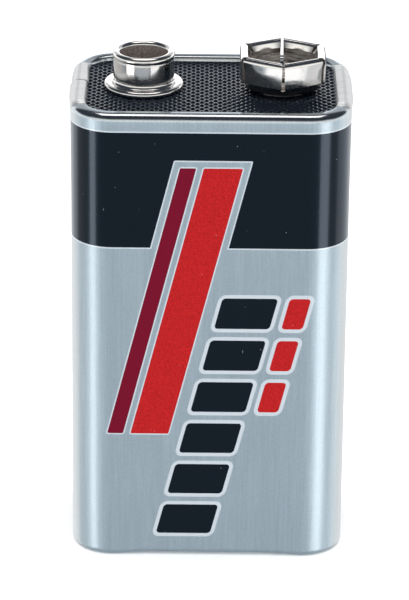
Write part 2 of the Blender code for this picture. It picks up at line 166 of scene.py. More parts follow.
def remap(tree, value, low, high, outLow=0.0, outHigh=1.0):
    node = tree.nodes.new("ShaderNodeMapRange")
    node.interpolation_type = "SMOOTHSTEP"
    for i, item in enumerate((value, low, high, outLow, outHigh)):
        socketOf(tree, node.inputs[i], item)
    return node.outputs[0]


def mixColour(tree, factor, first, second, blend="MIX"):
    node = tree.nodes.new("ShaderNodeMix")
    node.data_type = "RGBA"
    node.blend_type = blend
    socketOf(tree, node.inputs[0], factor)
    socketOf(tree, node.inputs[6], first)
    socketOf(tree, node.inputs[7], second)
    return node.outputs[2]


def noise(tree, vector, scale, detail=2.0, roughness=0.5):
    node = tree.nodes.new("ShaderNodeTexNoise")
    for name, value in (("Scale", scale), ("Detail", detail), ("Roughness", roughness)):
        node.inputs[name].default_value = value
    tree.links.new(vector, node.inputs["Vector"])
    return node.outputs["Fac"]


def stretched(tree, vector, scale):
    node = tree.nodes.new("ShaderNodeMapping")
    node.inputs["Scale"].default_value = scale
    tree.links.new(vector, node.inputs["Vector"])
    return node.outputs["Vector"]


def split(tree, vector):
    node = tree.nodes.new("ShaderNodeSeparateXYZ")
    tree.links.new(vector, node.inputs[0])
    return node.outputs


def newGroup(name, settings, outputs):
    # every group takes a place and some numbers, and gives numbers
    tree = bpy.data.node_groups.new(name, "ShaderNodeTree")
    tree.interface.new_socket(name="Vector", in_out="INPUT", socket_type="NodeSocketVector")
    for label, value in settings.items():
        made = tree.interface.new_socket(name=label, in_out="INPUT", socket_type="NodeSocketFloat")
        made.default_value = value
    for label in outputs:
        tree.interface.new_socket(name=label, in_out="OUTPUT", socket_type="NodeSocketFloat")
    return tree, tree.nodes.new("NodeGroupInput"), tree.nodes.new("NodeGroupOutput")


def useGroup(tree, group, **values):
    node = tree.nodes.new("ShaderNodeGroup")
    node.node_tree = group
    for name, value in values.items():
        socketOf(tree, node.inputs[name], value)
    return node


def newMaterial(name, look):
    material = bpy.data.materials.new(name)
    material.use_nodes = True
    tree = material.node_tree
    shader = tree.nodes["Principled BSDF"]
    for socketName, value in look.items():
        shader.inputs[socketName].default_value = value
    place = tree.nodes.new("ShaderNodeTexCoord").outputs["Object"]
    return material, tree, shader, place


def feed(tree, shader, values):
    for name, value in values.items():
        tree.links.new(value, shader.inputs[name])


def bumpInto(tree, shader, height, strength, distance):
    node = tree.nodes.new("ShaderNodeBump")
    node.inputs["Strength"].default_value = strength
    node.inputs["Distance"].default_value = distance
    tree.links.new(height, node.inputs["Height"])
    tree.links.new(node.outputs["Normal"], shader.inputs["Normal"])


def spinTangent(tree, shader):
    node = tree.nodes.new("ShaderNodeTangent")
    node.direction_type = "RADIAL"
    node.axis = "Z"
    feed(tree, shader, {"Tangent": node.outputs["Tangent"]})


def buildGrain():
    # rolled or drawn metal: streaks along the stretched direction, and a slow cloudiness
    tree, gin, gout = newGroup("metalGrain", {"Contrast": 0.1}, ("Tone", "Streak"))
    fine = noise(tree, gin.outputs["Vector"], 1.0, 3.0, 0.6)
    wide = noise(tree, gin.outputs["Vector"], 0.16, 2.0)
    streak = plus(tree, times(tree, fine, 0.65), times(tree, wide, 0.35))
    swing = times(tree, minus(tree, streak, 0.5), gin.outputs["Contrast"])
    tree.links.new(plus(tree, swing, 1.0), gout.inputs["Tone"])
    tree.links.new(streak, gout.inputs["Streak"])
    return tree


def buildSpecks():
    # sparse round specks, each cell of the pattern holding one or none
    tree, gin, gout = newGroup("specks", {"Share": 0.3, "Size": 0.05}, ("Mask",))
    cells = tree.nodes.new("ShaderNodeTexVoronoi")
    cells.feature = "F1"
    cells.inputs["Scale"].default_value = 1.0
    tree.links.new(gin.outputs["Vector"], cells.inputs["Vector"])
    pick = split(tree, cells.outputs["Color"])[0]
    chosen = calc(tree, "LESS_THAN", pick, gin.outputs["Share"])
    inner = times(tree, gin.outputs["Size"], 0.5)
    dot = remap(tree, cells.outputs["Distance"], inner, gin.outputs["Size"], 1.0, 0.0)
    tree.links.new(times(tree, dot, chosen), gout.inputs["Mask"])
    return tree


grainGroup = buildGrain()
speckGroup = buildSpecks()


def grainOn(tree, place, scale, contrast):
    made = useGroup(tree, grainGroup, Vector=stretched(tree, place, scale), Contrast=contrast)
    return made.outputs["Tone"], made.outputs["Streak"]


def specksOn(tree, place, scale, share, size):
    made = useGroup(tree, speckGroup, Vector=stretched(tree, place, scale), Share=share, Size=size)
    return made.outputs["Mask"]


printing = {
    "bandBottom": 32.05, "bandTop": 43.41, "lean": 0.25, "pivot": 22.0, "flatFrom": 8.3,
    "margin": 0.75, "stripeTop": 39.98, "stripeBottom": 12.98,
    "deepStripe": (-7.3, -5.8), "redStripe": (-5.1, -1.5),
    "darkBars": (0.0, 5.2), "redBars": (6.3, 8.3),
    "barFoot": 2.4, "barHeight": 3.1, "barPitch": 4.3, "barRows": (0, 6), "redRows": (3, 6),
    "barRound": 0.35, "stripeRound": 0.12, "marginRound": 0.15,
    "barKeyline": 0.36, "thinKeyline": 0.13, "edge": 0.018, "farOff": 20.0,
}


def buildPrint():
    p = printing
    tree, gin, gout = newGroup("printedFields", {}, ("Dark", "Red", "Deep", "Keyline"))
    x, y, z = split(tree, stretched(tree, gin.outputs["Vector"], (1000, 1000, 1000)))
    face = calc(tree, "SIGN", times(tree, y, -1.0))  # the back carries the same print
    lean = times(tree, minus(tree, z, p["pivot"]), p["lean"])
    across = minus(tree, times(tree, x, face), lean)
    onFlat = calc(tree, "GREATER_THAN", absolute(tree, y), p["flatFrom"])

    def box(level, low, high, span, corner):
        # signed distance to a leaning rounded box, negative inside
        sideways = absolute(tree, minus(tree, across, (span[0] + span[1]) / 2))
        upward = absolute(tree, minus(tree, level, (low + high) / 2))
        a = minus(tree, sideways, (span[1] - span[0]) / 2 - corner)
        b = minus(tree, upward, (high - low) / 2 - corner)
        outA = larger(tree, a, 0.0)
        outB = larger(tree, b, 0.0)
        far = calc(tree, "SQRT", plus(tree, times(tree, outA, outA), times(tree, outB, outB)))
        near = calc(tree, "MINIMUM", larger(tree, a, b), 0.0)
        return minus(tree, plus(tree, far, near), corner)

    def bars(span, rows):
        gap = p["barPitch"] - p["barHeight"]
        start = p["barFoot"] - gap / 2
        local = calc(tree, "FLOORED_MODULO", minus(tree, z, start), p["barPitch"])
        shape = box(local, gap / 2, gap / 2 + p["barHeight"], span, p["barRound"])
        tooHigh = calc(tree, "GREATER_THAN", z, start + p["barPitch"] * rows[1])
        tooLow = calc(tree, "LESS_THAN", z, start + p["barPitch"] * rows[0])
        return plus(tree, shape, times(tree, plus(tree, tooHigh, tooLow), p["farOff"]))

    def inside(distance, grow=0.0):
        return remap(tree, distance, grow - p["edge"], grow + p["edge"], 1.0, 0.0)

    span = (p["deepStripe"][0] - p["margin"], p["redStripe"][1] + p["margin"])
    bare = box(z, p["stripeBottom"] - p["farOff"], p["stripeTop"] + p["margin"], span, p["marginRound"])
    bare = larger(tree, bare, times(tree, minus(tree, onFlat, 0.5), -2 * p["farOff"]))
    band = larger(tree, minus(tree, p["bandBottom"], z), minus(tree, z, p["bandTop"]))
    band = larger(tree, band, times(tree, bare, -1.0))
    darkBar = bars(p["darkBars"], p["barRows"])
    redBar = bars(p["redBars"], p["redRows"])
    redStripe = box(z, p["stripeBottom"], p["stripeTop"], p["redStripe"], p["stripeRound"])
    deepStripe = box(z, p["stripeBottom"], p["stripeTop"], p["deepStripe"], p["stripeRound"])

    darkMask = larger(tree, inside(band), times(tree, inside(darkBar), onFlat))
    redMask = times(tree, larger(tree, inside(redBar), inside(redStripe)), onFlat)
    deepMask = times(tree, inside(deepStripe), onFlat)
    wide = larger(tree, inside(darkBar, p["barKeyline"]), inside(redBar, p["barKeyline"]))
    thin = larger(tree, inside(redStripe, p["thinKeyline"]), inside(deepStripe, p["thinKeyline"]))
    around = times(tree, larger(tree, wide, thin), onFlat)
    around = larger(tree, around, inside(band, p["thinKeyline"]))
    for name, mask in (("Dark", darkMask), ("Red", redMask), ("Deep", deepMask), ("Keyline", around)):
        tree.links.new(mask, gout.inputs[name])
    return tree


tinLook = {
    "shader": {
        "Anisotropic": 0.25, "Coat Roughness": 0.10,
        "Specular IOR Level": 0.12, "Specular Tint": (0.85, 0.93, 1.0, 1.0),
    },
    # the bare sheet on the faces, on the short sides and on the rim; the short sides' greyer, warmer tone
    # is a painted reflection of the neutral light beside the battery
    "tin": (0.51, 0.62, 0.69, 1.0), "sideReflectionTin": (0.54, 0.585, 0.60, 1.0),
    "bentTin": (0.58, 0.62, 0.645, 1.0), "dullTin": (0.62, 0.62, 0.61, 1.0),
    "smudge": (0.12, 0.16, 0.19, 1.0), "scuff": (0.22, 0.27, 0.31, 1.0),
    # the grey of a painted dark reflection along each side roll, then of the rolls' crossing marks
    "rimDarkReflection": (0.36, 0.36, 0.36, 1.0), "rimMark": (0.30, 0.31, 0.31, 1.0),
    "lapShade": (0.10, 0.11, 0.12, 1.0), "chip": (0.55, 0.60, 0.62, 1.0),
    # the inks
    "pale": (0.74, 0.80, 0.86, 1.0), "enamel": (0.0275, 0.039, 0.0525, 1.0),
    "redLow": (0.39, 0.012, 0.014, 1.0), "redHigh": (0.58, 0.019, 0.019, 1.0),
    "deep": (0.175, 0.005, 0.022, 1.0),
    # stretch and contrast of the grain; stretch, share and size of the specks; scale of the noises
    "grain": ((5200, 5200, 190), 0.42), "dots": ((900, 900, 900), 0.55, 0.055),
    "nicks": ((1300, 1300, 260), 0.20, 0.06), "scuffs": ((1300, 1300, 160), 0.05, 0.10),
    "smudges": (6500.0, 2.0, 0.6), "crossStretch": (300, 5200, 600), "grit": (9000.0, 2.0),
    # how strongly each mark covers what lies under it
    "smudgeShare": 0.12, "rollShare": 0.85, "markShare": 0.45, "scuffShare": 0.30, "lapShare": 0.9,
    "keylineShare": 0.9, "wearShare": 0.38,
    "tinShine": 0.55, "enamelShine": 0.84, "tinCoat": 0.3, "inkCoat": 0.24,
    "tinRoughness": 0.30, "inkRoughness": 0.20, "redRoughness": 0.26,
    "streakRough": 0.12, "rimSmooth": 0.20, "rollRough": 0.30, "rollShineLoss": 0.45,
    "crossHeight": 3.0, "wearHeight": 1.5, "bump": (0.10, 0.00002),
    # where each kind of tin starts and ends, across the battery, front to back and upwards
    "sideFrom": (11.8, 12.8), "rimFrom": (44.3, 44.8), "sideRollX": (11.2, 11.6), "sideRollY": (5.6, 5.2),
    "rimLineAt": 12.45, "rimLineWidth": (0.05, 0.22), "lapWidth": (0.04, 0.13), "lapSide": -11.4,
}


def buildTinplate():
    look = tinLook
    material, tree, shader, place = newMaterial("printedTinplate", look["shader"])
    dark, red, deep, keyline = useGroup(tree, buildPrint(), Vector=place).outputs
    tone, streak = grainOn(tree, place, *look["grain"])
    dots, nicks, scuffs = (specksOn(tree, place, *look[name]) for name in ("dots", "nicks", "scuffs"))
    smudges = noise(tree, place, *look["smudges"])
    crossing = noise(tree, stretched(tree, place, look["crossStretch"]), 1.0, 3.0, 0.65)
    grit = noise(tree, place, *look["grit"])

    x, y, z = split(tree, stretched(tree, place, (1000, 1000, 1000)))
    across, depth = absolute(tree, x), absolute(tree, y)
    # the rolled rim is bent hardest, so its side rolls are dulled and lightly crossed
    rim = remap(tree, z, *look["rimFrom"])
    sideRoll = times(tree, rim, remap(tree, across, *look["sideRollX"]))
    sideRoll = times(tree, sideRoll, remap(tree, depth, *look["sideRollY"]))
    # a darker line painted along each side roll, just outside its crest: a painted dark reflection
    line = absolute(tree, minus(tree, across, look["rimLineAt"]))
    line = times(tree, remap(tree, line, *look["rimLineWidth"], 1.0, 0.0), sideRoll)
    marks = times(tree, remap(tree, crossing, 0.52, 0.70), sideRoll)
    # the lap of the wrapped sheet throws a thin shade down the left side
    lap = absolute(tree, minus(tree, y, jacketSpec["seamBehind"] + jacketSpec["seamRamp"]))
    lap = remap(tree, lap, *look["lapWidth"], 1.0, 0.0)
    lap = times(tree, lap, calc(tree, "LESS_THAN", x, look["lapSide"]))

    redInks = larger(tree, red, deep)
    ink = larger(tree, dark, redInks)
    covered = larger(tree, ink, times(tree, keyline, 0.55))
    wear = larger(tree, dots, nicks)
    redTone = mixColour(tree, remap(tree, grit, 0.25, 0.75), look["redLow"], look["redHigh"])

    # painted reflection: the outer corners and short sides take a greyer, warmer tin than the faces
    paint = mixColour(tree, remap(tree, across, *look["sideFrom"]), look["tin"], look["sideReflectionTin"])
    paint = mixColour(tree, rim, paint, look["bentTin"])
    paint = mixColour(tree, 1.0, paint, tone, "MULTIPLY")
    layers = (
        (remap(tree, smudges, 0.3, 0.7, 0.0, look["smudgeShare"]), look["smudge"]),
        (times(tree, sideRoll, look["rollShare"]), look["dullTin"]),
        (times(tree, line, look["markShare"]), look["rimDarkReflection"]),
        (times(tree, marks, look["markShare"]), look["rimMark"]),
        (times(tree, scuffs, look["scuffShare"]), look["scuff"]),
        (times(tree, lap, look["lapShare"]), look["lapShade"]),
        (times(tree, keyline, look["keylineShare"]), look["pale"]),
        (dark, look["enamel"]),
        (red, redTone),
        (deep, look["deep"]),
        (times(tree, wear, look["wearShare"]), look["chip"]),
    )
    for share, colour in layers:
        paint = mixColour(tree, share, paint, colour)

    # the dark enamel is thin enough for the bright metal to gleam through it
    gleam = times(tree, minus(tree, dark, wear), look["enamelShine"])
    shine = remap(tree, rim, 0.0, 1.0, look["tinShine"], 1.0)
    shine = minus(tree, shine, times(tree, sideRoll, look["rollShineLoss"]))
    bare = times(tree, shine, minus(tree, 1.0, covered))
    metal = larger(tree, bare, gleam)
    coat = remap(tree, ink, 0.0, 1.0, look["tinCoat"], look["inkCoat"])

    bareRough = plus(tree, look["tinRoughness"], times(tree, streak, look["streakRough"]))
    bareRough = minus(tree, bareRough, times(tree, rim, look["rimSmooth"]))
    bareRough = plus(tree, bareRough, times(tree, sideRoll, look["rollRough"]))
    redExtra = times(tree, redInks, look["redRoughness"] - look["inkRoughness"])
    inkRough = plus(tree, look["inkRoughness"], redExtra)
    rough = plus(tree, times(tree, bareRough, minus(tree, 1.0, ink)), times(tree, inkRough, ink))
    feed(tree, shader, {"Base Color": paint, "Metallic": metal, "Coat Weight": coat, "Roughness": rough})

    height = times(tree, streak, minus(tree, 1.0, times(tree, ink, 0.85)))
    height = plus(tree, height, times(tree, times(tree, crossing, sideRoll), look["crossHeight"]))
    height = plus(tree, height, times(tree, wear, look["wearHeight"]))
    bumpInto(tree, shader, height, *look["bump"])
    spinTangent(tree, shader)
    return material


jacketSpec = {
    "width": 26.0, "depth": 17.0, "height": 45.4, "corner": 4.0, "sheet": 0.25,
    "outerRoll": 0.74, "rimFlat": 0.30, "innerRoll": 0.28, "rimFall": 8,
    "lipLean": 19, "lipLength": 0.20, "lipEnd": -12, "baseRoll": 0.6, "baseLip": 1.5,
    "wallLevels": (6.0, 16.0, 26.0, 36.0, 43.9),
    "seamStep": 0.13, "seamRamp": 0.12, "seamBehind": 0.2,
    "cornerSteps": 44, "sideSteps": 34, "faceSteps": 16,
    # the crimp draws the lower edge of each flat up and in, and the corners stand on the floor
    "tuck": 0.16, "tuckSide": 0.10, "tuckIn": 0.12, "tuckLevels": (0.6, 4.0),
    "faceEnd": (5.4, 9.4), "faceFrom": (6.2, 6.9), "sideEnd": (1.8, 4.6), "sideFrom": (10.7, 11.4),
    # the rolls of the long sides and the corners sit lower than the two side rolls
    "frontDrop": 0.28, "rearDrop": -0.03, "rearDip": 0.13, "rearDipEnd": (6.2, 7.8),
    "sideRollEnd": (5.17, 5.39), "sideRollFrom": (9.0, 9.6),
    "outerSkin": 0.85, "rollLevels": (43.95, 44.75), "lipLevel": 44.9,
    # and the side rolls bow outwards
    "sideBow": 0.24, "bowFrom": 12.0, "bowEnd": (2.0, 6.0), "bowLevels": (43.0, 44.6),
}


def jacketSection():
    s = jacketSpec
    top = s["height"]
    lean = radians(s["lipLean"])
    rimIn = s["outerRoll"] + s["rimFlat"]
    innerLevel = top - s["innerRoll"] - s["rimFlat"] * tan(radians(s["rimFall"]))
    lipIn = rimIn + s["lipLength"] * sin(lean)
    lipLevel = innerLevel - s["lipLength"] * cos(lean)

    def skin(offset):
        outer = s["outerRoll"] - offset
        inner = s["innerRoll"] - offset
        return (
            [(s["baseLip"], offset)]
            + arc(s["baseRoll"], s["baseRoll"], s["baseRoll"] - offset, 270, 180, 8)
            + [(offset, z) for z in s["wallLevels"]]
            + arc(s["outerRoll"], top - s["outerRoll"], outer, 180, 90 - s["rimFall"], 13)
            + arc(rimIn, innerLevel, inner, 90 - s["rimFall"], s["lipLean"], 7)
            + arc(lipIn, lipLevel, inner, s["lipLean"], s["lipEnd"], 3)
        )

    return skin(0.0) + skin(s["sheet"])[::-1]


def buildJacket():
    s = jacketSpec
    halfWidth, halfDepth = s["width"] / 2, s["depth"] / 2
    flatX, flatY = halfWidth - s["corner"], halfDepth - s["corner"]
    bm = bmesh.new()
    loop = closedLoop(bm, [(-flatX, inset - halfDepth, z) for inset, z in jacketSection()])[1]

    def run(edges, dx, dy, steps):
        for _ in range(steps):
            made = bmesh.ops.extrude_edge_only(bm, edges=edges)["geom"]
            ends = set(only(bmesh.types.BMVert, made))
            bmesh.ops.translate(bm, vec=(dx / steps, dy / steps, 0), verts=list(ends))
            edges = [edge for edge in only(bmesh.types.BMEdge, made) if set(edge.verts) <= ends]
        return edges

    def turn(edges, x, y):
        geom = edges + list({vert for edge in edges for vert in edge.verts})
        last = bmesh.ops.spin(
            bm, geom=geom, cent=(x, y, 0), axis=(0, 0, 1), angle=pi / 2, steps=s["cornerSteps"]
        )
        return only(bmesh.types.BMEdge, last["geom_last"])

    # once round from the front left corner, stepping in at the lap seam on the left side
    seamRun = flatY - s["seamBehind"] - s["seamRamp"]
    loop = run(loop, 2 * flatX, 0, s["faceSteps"])
    loop = turn(loop, flatX, -flatY)
    loop = run(loop, 0, 2 * flatY, s["sideSteps"])
    loop = turn(loop, flatX, flatY)
    loop = run(loop, -2 * flatX, 0, s["faceSteps"])
    loop = turn(loop, -flatX, flatY)
    loop = run(loop, s["seamStep"], -seamRun, s["sideSteps"] // 2)
    loop = run(loop, -s["seamStep"], -s["seamRamp"], 3)
    loop = run(loop, 0, -flatY - s["seamBehind"], s["sideSteps"] // 2)
    turn(loop, -flatX, -flatY)
    closeUp(bm)

    for vert in bm.verts:
        x, y, z = vert.co
        ax, ay = abs(x), abs(y)
        outX, outY = (1 if x > 0 else -1), (1 if y > 0 else -1)
        low = fadeOut(z, *s["tuckLevels"])
        onFace = fadeOut(ax, *s["faceEnd"]) * smoothStep(ay, *s["faceFrom"])
        onSide = fadeOut(ay, *s["sideEnd"]) * smoothStep(ax, *s["sideFrom"])
        vert.co.z += low * (s["tuck"] * onFace + s["tuckSide"] * onSide)
        vert.co.y -= low * s["tuckIn"] * onFace * outY

        onSideRoll = fadeOut(ay, *s["sideRollEnd"]) * smoothStep(ax, *s["sideRollFrom"])
        rearDrop = s["rearDrop"] + s["rearDip"] * fadeOut(ay, *s["rearDipEnd"])
        drop = (s["frontDrop"] if y < 0 else rearDrop) * (1 - onSideRoll)
        if s["corner"] - hypot(max(ax - flatX, 0), max(ay - flatY, 0)) < s["outerSkin"]:
            vert.co.z -= drop * smoothStep(z, *s["rollLevels"])
        elif z > s["lipLevel"]:
            vert.co.z -= drop * (z - s["lipLevel"]) / (s["height"] - s["lipLevel"])
        if ax > s["bowFrom"]:
            vert.co.x += outX * s["sideBow"] * fadeOut(ay, *s["bowEnd"]) * smoothStep(z, *s["bowLevels"])
    bmesh.ops.recalc_face_normals(bm, faces=bm.faces)
    jacket = linkObject("jacketShell", meshFrom("jacketShell", bm))
    dress(jacket, [buildTinplate()], "jacket", 50)
    return jacket


boardSpec = {
    "pitchX": 0.84, "pitchY": 0.88, "depth": 0.22, "pitX": 0.32, "pitY": 0.335, "pitCurve": 1.15,
    "spanX": 24.9, "spanY": 16.28, "cellSteps": 8, "skim": 0.012, "stampMargin": 1.0,
    "shader": {"Specular IOR Level": 0.5, "Specular Tint": (0.68, 0.84, 1.0, 1.0)},
    "low": (0.0018, 0.0034, 0.0062, 1.0), "high": (0.0044, 0.0070, 0.0115, 1.0),
    "dust": (0.30, 0.32, 0.34, 1.0), "dustShare": 0.25, "roughness": (0.10, 0.22),
    "grain": (5200.0, 3.0, 0.6), "patches": (260.0, 2.0), "specks": ((900, 900, 900), 0.10, 0.05),
    "bump": (0.10, 0.00001),
}


def pitDepth(x, y):
    # pits stand on a staggered net, so the nearest one is found along its two slanting rows
    s = boardSpec
    p = round(x / s["pitchX"] + y / s["pitchY"])
    q = round(x / s["pitchX"] - y / s["pitchY"])
    awayX = (x - (p + q) * s["pitchX"] / 2) / s["pitX"]
    awayY = (y - (p - q) * s["pitchY"] / 2) / s["pitY"]
    return 1 - min(hypot(awayX, awayY), 1.0) ** s["pitCurve"]


def buildBoardPlastic():
    look = boardSpec
    material, tree, shader, place = newMaterial("boardPlastic", look["shader"])
    grain = noise(tree, place, *look["grain"])
    patches = noise(tree, place, *look["patches"])
    dust = specksOn(tree, place, *look["specks"])
    tone = mixColour(tree, remap(tree, patches, 0.3, 0.7), look["low"], look["high"])
    tone = mixColour(tree, times(tree, dust, look["dustShare"]), tone, look["dust"])
    rough = remap(tree, grain, 0.2, 0.8, *look["roughness"])
    feed(tree, shader, {"Base Color": tone, "Roughness": rough})
    bumpInto(tree, shader, grain, *look["bump"])
    return material


def buildBoard():
    s = boardSpec
    bm = bmesh.new()
    bm.from_mesh(nodes["terminal_board"].data)
    bmesh.ops.remove_doubles(bm, verts=bm.verts, dist=1e-7)
    mesh = bpy.data.meshes.new("boardNet")
    bm.to_mesh(mesh)
    bm.free()
    board = linkObject("boardNet", mesh)
    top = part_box("terminal_board")[1][2] / mm

    # the stamp's lower face carries the net and presses it into the plain board
    bm = bmesh.new()
    columns = round(s["spanX"] / s["pitchX"] * s["cellSteps"])
    rows = round(s["spanY"] / s["pitchY"] * s["cellSteps"])
    width, length = s["spanX"] + s["stampMargin"], s["spanY"] + s["stampMargin"]
    bmesh.ops.create_grid(bm, x_segments=columns, y_segments=rows, size=0.5)
    bmesh.ops.scale(bm, vec=(width, length, 1), verts=bm.verts)
    for vert in bm.verts:
        vert.co.z = top - s["skim"] - s["depth"] * pitDepth(vert.co.x, vert.co.y)
    made = bmesh.ops.extrude_face_region(bm, geom=bm.faces[:])["geom"]
    for vert in only(bmesh.types.BMVert, made):
        vert.co.z = top + s["stampMargin"]
    bmesh.ops.recalc_face_normals(bm, faces=bm.faces)
    stamp = linkObject("stamp", meshFrom("stamp", bm))
    cutAway(board, [stamp])
    dress(board, [buildBoardPlastic()], "terminal_board", 60)
    return board


def spinOutline(outline, steps, centreX):
    bm = fullSpin([(radius, 0, z) for radius, z in outline], steps)
    bmesh.ops.translate(bm, vec=(centreX, 0, 0), verts=bm.verts)
    return bm


nickelLook = {
    "plate": (0.80, 0.795, 0.78, 1.0), "roughness": (0.07, 0.16), "streakRough": 0.05,
    "grain": ((900, 900, 5200), 0.10), "turnedStreak": 0.55, "bump": (0.06, 0.00001),
    "cloud": (0.52, 0.48, 0.45, 1.0), "cloudShare": 0.22, "clouds": (900.0, 3.0, 0.6),
    "spot": (0.25, 0.22, 0.20, 1.0), "spotShare": 0.35, "spots": ((1500, 1500, 1500), 0.12, 0.09),
    # foot and the share after it: a dark tone laid over the socket's foot as painted shade
    "foot": (0.13, 0.135, 0.15, 1.0), "footShadeShare": 0.75, "footLevels": (45.7, 46.3), "footRough": 0.15,
}


def buildNickel(name, turned):
    look = nickelLook
    turnMarks = look["turnedStreak"] if turned else 0.0
    material, tree, shader, place = newMaterial(
        name, {"Metallic": 1.0, "Anisotropic": turnMarks, "Anisotropic Rotation": 0.25}
    )
    grain, streak = grainOn(tree, place, *look["grain"])
    clouds = noise(tree, place, *look["clouds"])
    spots = specksOn(tree, place, *look["spots"])
    tone = mixColour(tree, 1.0, look["plate"], grain, "MULTIPLY")
    tone = mixColour(tree, remap(tree, clouds, 0.52, 0.75, 0.0, look["cloudShare"]), tone, look["cloud"])
    tone = mixColour(tree, times(tree, spots, look["spotShare"]), tone, look["spot"])
    rough = remap(tree, clouds, 0.3, 0.8, *look["roughness"])
    rough = plus(tree, rough, times(tree, streak, look["streakRough"]))
    # the socket's drawn foot is darkened towards the board as painted shade, and made rougher
    if not turned:
        # the drawn foot of the socket was never polished
        level = times(tree, split(tree, place)[2], 1 / mm)
        low = remap(tree, level, *look["footLevels"], 1.0, 0.0)
        tone = mixColour(tree, times(tree, low, look["footShadeShare"]), tone, look["foot"])
        rough = plus(tree, rough, times(tree, low, look["footRough"]))
    feed(tree, shader, {"Base Color": tone, "Roughness": rough})
    bumpInto(tree, shader, plus(tree, streak, clouds), *look["bump"])
    if turned:
        spinTangent(tree, shader)
    return material


cupLook = {
    "low": (0.13, 0.105, 0.094, 1.0), "high": (0.44, 0.375, 0.35, 1.0), "grit": (7000.0, 3.0, 0.7),
    "cloud": (0.17, 0.15, 0.145, 1.0), "cloudShare": 0.35, "clouds": (700.0, 2.0),
    "metal": (0.25, 0.5), "roughness": (0.62, 0.45), "bump": (0.5, 0.00002),
}


def buildCupSteel():
    # dull brownish metal where the plating is thin, inside the stud
    look = cupLook
    material, tree, shader, place = newMaterial("cupInside", {"Specular IOR Level": 0.3})
    grit = noise(tree, place, *look["grit"])
    clouds = noise(tree, place, *look["clouds"])
    tone = mixColour(tree, remap(tree, grit, 0.3, 0.75), look["low"], look["high"])
    tone = mixColour(tree, remap(tree, clouds, 0.4, 0.7, 0.0, look["cloudShare"]), tone, look["cloud"])
    metal = remap(tree, grit, 0.2, 0.8, *look["metal"])
    rough = remap(tree, grit, 0.2, 0.8, *look["roughness"])
    feed(tree, shader, {"Base Color": tone, "Metallic": metal, "Roughness": rough})
    bumpInto(tree, shader, grit, *look["bump"])
    return material


leafLook = {
    "low": (0.08, 0.07, 0.065, 1.0), "high": (0.85, 0.81, 0.77, 1.0), "stretch": (420, 420, 2400),
    "blot": (0.16, 0.13, 0.12, 1.0), "blotShare": 0.5, "blots": (1300.0, 3.0, 0.6),
    "metal": (0.7, 0.3), "roughness": (0.42, 0.22), "bump": (0.6, 0.00006),
}


def buildLeafSteel():
    # streaky drawn metal inside the socket's leaves
    look = leafLook
    material, tree, shader, place = newMaterial("leafInside", {})
    streaks = noise(tree, stretched(tree, place, look["stretch"]), 1.0, 4.0, 0.65)
    blots = noise(tree, place, *look["blots"])
    tone = mixColour(tree, remap(tree, streaks, 0.35, 0.68), look["low"], look["high"])
    tone = mixColour(tree, remap(tree, blots, 0.45, 0.7, 0.0, look["blotShare"]), tone, look["blot"])
    metal = remap(tree, blots, 0.2, 0.8, *look["metal"])
    rough = remap(tree, streaks, 0.2, 0.8, *look["roughness"])
    feed(tree, shader, {"Base Color": tone, "Metallic": metal, "Roughness": rough})
    bumpInto(tree, shader, streaks, *look["bump"])
    return material


studSpec = {
    "x": -6.325, "base": 45.0, "steps": 128,
    "holeRadius": 1.25, "edgeMiddle": 3.41, "edgeLevel": 0.19, "edgeRadius": 0.32, "fillet": 0.36,
    "waist": 2.82, "barrel": 2.87, "beadRadius": 0.36, "beadOut": 2.91, "height": 3.53, "sheet": 0.30,
    # the barrel is drawn in a little under the bead and above the fillet
    "neckIn": 0.015, "neckDrop": 0.34, "barrelDrop": 0.46, "barrelFoot": 1.25,
    "taperIn": 0.012, "taperFoot": 1.05,
    "cupRound": 0.25, "cupMiddle": (0.02, 1.5), "cupTop": (0.01, 0.5), "dullOut": 0.05, "dullDrop": 0.10,
}


def buildStud(nickel, dull):
    s = studSpec
    edge, level, fillet = s["edgeRadius"], s["edgeLevel"], s["fillet"]
    flangeTop = level + edge
    bead = s["beadRadius"]
    beadMiddle = s["beadOut"] - bead
    beadLevel = s["height"] - bead
    mouth = beadMiddle - bead
    cupRound = s["cupRound"]
    tuck = degrees(asin(level / edge))
    outline = (
        arc(beadMiddle, beadLevel, bead, 180, -38, 18)
        + [(s["barrel"] - s["neckIn"], beadLevel - s["neckDrop"])]
        + [(s["barrel"], beadLevel - s["barrelDrop"]), (s["barrel"], s["barrelFoot"])]
        + [(s["barrel"] - s["taperIn"], s["taperFoot"]), (s["waist"], flangeTop + fillet)]
        + arc(s["waist"] + fillet, flangeTop + fillet, fillet, 188, 266, 8)
        + arc(s["edgeMiddle"], level, edge, 88, -tuck, 12)
        + [(s["holeRadius"], 0.0), (s["holeRadius"], s["sheet"]), (mouth - cupRound, s["sheet"])]
        + arc(mouth - cupRound, s["sheet"] + cupRound, cupRound, -80, 0, 5)
        + [(mouth + s["cupMiddle"][0], s["cupMiddle"][1])]
        + [(mouth + s["cupTop"][0], beadLevel - s["cupTop"][1])]
    )
    bm = spinOutline([(radius, s["base"] + z) for radius, z in outline], s["steps"], s["x"])
    stud = linkObject("studCup", meshFrom("studCup", bm))

    def inCup(centre, normal):
        radius = hypot(centre.x - s["x"], centre.y)
        dullTop = s["base"] + beadLevel - s["dullDrop"]
        return int(radius < mouth + s["dullOut"] and centre.z < dullTop)

    dress(stud, [nickel, dull], "positive_stud", 50, inCup)
    return stud


